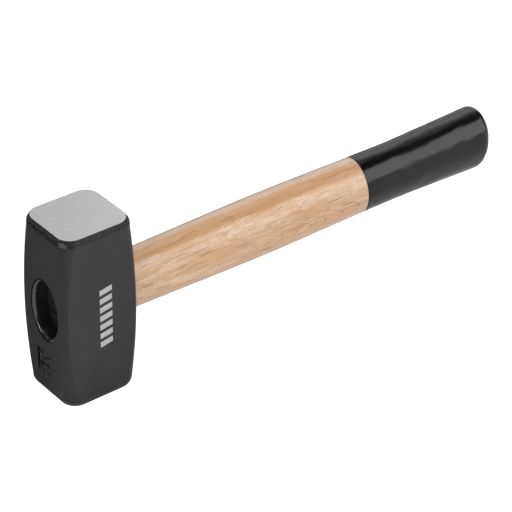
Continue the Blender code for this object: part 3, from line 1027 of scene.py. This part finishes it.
def slip(name, tip_x, tip_half_height, toe_x, toe_half_height, clearance):
    """A solid between the wooden wedge's two broad faces, each moved outwards by clearance."""
    tip = ((tip_x, tip_half_height), (tip_x, -tip_half_height))
    toe = ((toe_x, -toe_half_height), (toe_x, toe_half_height))
    sides = []
    for side in (-1, 1):
        outline = []
        for x, z in tip + toe:
            y = side * (wooden_half_thickness(x) + clearance)
            outline.append(Vector((x, y, HANDLE_HEIGHT + eye_rise(x) + z)))
        sides.append(outline)
    return loft(name, sides)


def steel_half_thickness(x, low_x, high_x):
    return mix(STEEL_WEDGE_THICK, STEEL_WEDGE_THIN, (x - low_x) / (high_x - low_x)) / 2


def steel_slot(node):
    """The slot that a steel wedge has opened in the wood round it."""
    low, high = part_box(node)
    middle = (low.z + high.z) / 2
    half_width = STEEL_WEDGE_HALF_WIDTH + FIT_GAP
    start, end = low.x - CUTTER_REACH, high.x + FIT_GAP
    corners = ((start, 1), (start, -1), (end, -1), (end, 1))
    sides = []
    for y in (-half_width, half_width):
        ring = []
        for x, side in corners:
            half_thickness = steel_half_thickness(x, low.x, high.x) + FIT_GAP
            ring.append(Vector((x, y, middle + side * half_thickness)))
        sides.append(ring)
    return loft("slot", sides)


def make_handle():
    """The wooden handle: its split tip, bare shaft, and the rebated end that the coating hides."""
    shoulder = COATING_START_X - FIT_GAP
    skin = COATING_THICKNESS + FIT_GAP
    in_eye = stops_between(TIP_X, HANDLE_OVALS[0][0], EYE_STEP)[:-1]
    bare = stops_between(HANDLE_OVALS[0][0], shoulder, HANDLE_STEP)
    covered = stops_between(shoulder, BUTT_X - BUTT_ROUNDING, COVERED_STEP)[:-1]
    rings = [handle_ring(x) for x in in_eye]
    rings += [ripple(handle_ring(x, 0.0, edge_lean(x)), WOOD_RIPPLE) for x in bare]
    rings += [handle_ring(x, -skin, edge_lean(x)) for x in covered]
    rings += butt_rings(-skin)
    handle = add_object("wood_handle", loft("wood_handle", rings), (handle_wood(), tip_paint_and_shade()))
    # The handle inside the eye is painted black, which also paints the shade there.
    for face in handle.data.polygons:
        if face.center.x < 0.0:
            face.material_index = TIP_PAINT_AND_SHADE_SLOT
    shade(handle.data, 35)
    kerf = slip("kerf", TIP_X - CUTTER_REACH, KERF_HALF_HEIGHT, KERF_END_X, KERF_HALF_HEIGHT, FIT_GAP)
    # The kerf's walls are painted black too, as painted shade deep in the eye.
    carve(handle, kerf, TIP_PAINT_AND_SHADE_SLOT)
    # So are the walls of the steel wedges' slots.
    for name in ("upper", "lower"):
        carve(handle, steel_slot(f"steel_wedge_{name}"), TIP_PAINT_AND_SHADE_SLOT)
    stand_in_for(handle, "handle")


def make_coating():
    """The lacquer skin: a cup with a rounded lip and a gently wavy outside."""
    outer = stops_between(COATING_START_X, BUTT_X - BUTT_ROUNDING, COATING_STEP)[:-1]
    rings = [ripple(ring, COATING_RIPPLE) for ring in reversed(butt_rings(0.0))]
    for x in reversed(outer):
        lip = smooth_step(0.0, COATING_LIP_LENGTH, x - COATING_START_X)
        ring = handle_ring(x, mix(-COATING_LIP_SINK, COATING_PROUD, math.sqrt(lip)), edge_lean(x))
        rings.append(ripple(ring, COATING_RIPPLE, lip))
    rings += [handle_ring(x, -COATING_THICKNESS, edge_lean(x)) for x in outer[::4]]
    rings += butt_rings(-COATING_THICKNESS)
    coating = add_object("lacquer_skin", loft("lacquer_skin", rings), (grip_lacquer(),))
    shade(coating.data, 50)
    stand_in_for(coating, "grip_coating")


# ---------------------------------------------------------------- wedges


def make_wooden_wedge():
    """The slip of wood in the kerf, split by the two steel wedges."""
    toe_x = WOODEN_WEDGE_HIGH.x
    mesh = slip("wood_slip", TIP_X, WOODEN_WEDGE_HALF_HEIGHT_TIP, toe_x, WOODEN_WEDGE_HALF_HEIGHT_TOE, 0.0)
    wedge = add_object("wood_slip", mesh, (wedge_wood(), tip_paint_and_shade()))
    for name in ("upper", "lower"):
        carve(wedge, steel_slot(f"steel_wedge_{name}"), PLAIN_SLOT)
    soften_edges(wedge, WEDGE_EDGE)
    paint_tip(wedge)
    stand_in_for(wedge, "wooden_wedge")


def paint_tip(obj):
    """The outermost end of a wedge is painted over with the eye, in black that also paints the shade there."""
    end_x = min(vert.co.x for vert in obj.data.vertices)
    for face in obj.data.polygons:
        if face.center.x < end_x + PAINTED_TIP:
            face.material_index = TIP_PAINT_AND_SHADE_SLOT


def make_steel_wedge(name, node):
    """A flat wedge whose broad faces are stepped into barbs."""
    low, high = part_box(node)
    middle = Vector((0, 0, (low.z + high.z) / 2))
    upper = []
    for barb in range(STEEL_WEDGE_BARBS):
        near = mix(low.x, high.x, barb / STEEL_WEDGE_BARBS)
        far = mix(low.x, high.x, (barb + 1) / STEEL_WEDGE_BARBS)
        upper.append((near, steel_half_thickness(near, low.x, high.x)))
        upper.append((far, steel_half_thickness(far, low.x, high.x) - STEEL_WEDGE_BARB_DEPTH))
    profile = upper + [(x, -z) for x, z in reversed(upper)]
    sides = [[Vector((x, y, z)) + middle for x, z in profile] for y in (low.y, high.y)]
    wedge = add_object(name, loft(name, sides), (wedge_steel(), tip_paint_and_shade()))
    soften_edges(wedge, WEDGE_EDGE)
    paint_tip(wedge)
    stand_in_for(wedge, node)


# ---------------------------------------------------------------- studio


def direction(azimuth, elevation):
    """A unit vector: azimuth turns from +X towards +Y, elevation rises from the floor."""
    flat = math.cos(elevation)
    return Vector((math.cos(azimuth) * flat, math.sin(azimuth) * flat, math.sin(elevation)))


def add_soft_box(name, azimuth, elevation, distance, width, height, radiance, roll):
    towards = direction(math.radians(azimuth), math.radians(elevation))
    light = bpy.data.lights.new(name, "AREA")
    light.shape = "RECTANGLE"
    light.size, light.size_y = width, height
    light.energy = radiance * width * height * math.pi
    lamp = bpy.data.objects.new(name, light)
    bpy.context.scene.collection.objects.link(lamp)
    lamp.location = STUDIO_CENTRE + towards * distance
    rolled = Quaternion((0, 0, 1), math.radians(roll))
    lamp.rotation_euler = (towards.to_track_quat("Z", "Y") @ rolled).to_euler()
    lamp.visible_camera = False


def add_floor():
    """A plain pale floor, white to the camera. To other rays it glows dimly on the camera's side."""
    bm = bmesh.new()
    bmesh.ops.create_grid(bm, x_segments=1, y_segments=1, size=FLOOR_HALF_SIZE)
    mesh = bpy.data.meshes.new("floor")
    bm.to_mesh(mesh)
    bm.free()
    made, tree, shader = new_material("floor", 0.9, level=0.0)
    shader.inputs["Base Color"].default_value = (FLOOR_ALBEDO, FLOOR_ALBEDO, FLOOR_ALBEDO, 1.0)
    shader.inputs["Emission Color"].default_value = (1.0, 1.0, 1.0, 1.0)
    glow = add(tree, "LightPath", {}).outputs["Is Camera Ray"]
    for towards, start, full, strength in FLOOR_GLOWS:
        dot = add(tree, "VectorMath", {0: place(tree), 1: towards}, operation="DOT_PRODUCT")
        glow = sums(tree, "ADD", glow, fade(tree, dot.outputs["Value"], start, full, 0.0, strength))
    link(tree, shader, Emission_Strength=glow)
    floor = add_object("floor", mesh, (made,))
    floor.location.z = HEAD_LOW.z - FLOOR_DROP


def add_world():
    """Dim grey studio air that is paler near the horizon; the camera sees it as pale as the floor."""
    world = bpy.data.worlds.new("studio")
    bpy.context.scene.world = world
    world.use_nodes = True
    tree = world.node_tree
    background = tree.nodes["Background"]
    up = axis(tree, add(tree, "TexCoord", {}).outputs["Generated"], "Z")
    air = fade(tree, up, 0.0, AIR_CHANGE_ENDS, AIR_AT_HORIZON, AIR_OVERHEAD)
    background.inputs["Color"].default_value = (1.0, 1.0, 1.0, 1.0)
    seen = add(tree, "LightPath", {}).outputs["Is Camera Ray"]
    tree.links.new(sums(tree, "MULTIPLY_ADD", seen, AIR_TO_CAMERA, air), background.inputs["Strength"])


def add_camera():
    back = direction(CAMERA_AZIMUTH - math.pi / 2, CAMERA_ELEVATION)
    level = Vector((math.cos(CAMERA_AZIMUTH), math.sin(CAMERA_AZIMUTH), 0))
    upright = back.cross(level)
    right = level * math.cos(CAMERA_ROLL) + upright * math.sin(CAMERA_ROLL)
    turned = Matrix((right, back.cross(right), back)).transposed().to_4x4()
    lens = bpy.data.cameras.new("camera")
    lens.lens = CAMERA_LENS_MM
    camera = bpy.data.objects.new("camera", lens)
    bpy.context.scene.collection.objects.link(camera)
    camera.matrix_world = Matrix.Translation(CAMERA_AIM + back * CAMERA_DISTANCE) @ turned
    bpy.context.scene.camera = camera


def add_studio():
    add_camera()
    add_floor()
    add_world()
    for box in SOFT_BOXES:
        add_soft_box(*box)
    bpy.context.scene.view_settings.view_transform = "Standard"


add_studio()
make_head()
make_cheek_mark()
make_handle()
make_coating()
make_wooden_wedge()
make_steel_wedge("barbed_wedge_upper", "steel_wedge_upper")
make_steel_wedge("barbed_wedge_lower", "steel_wedge_lower")
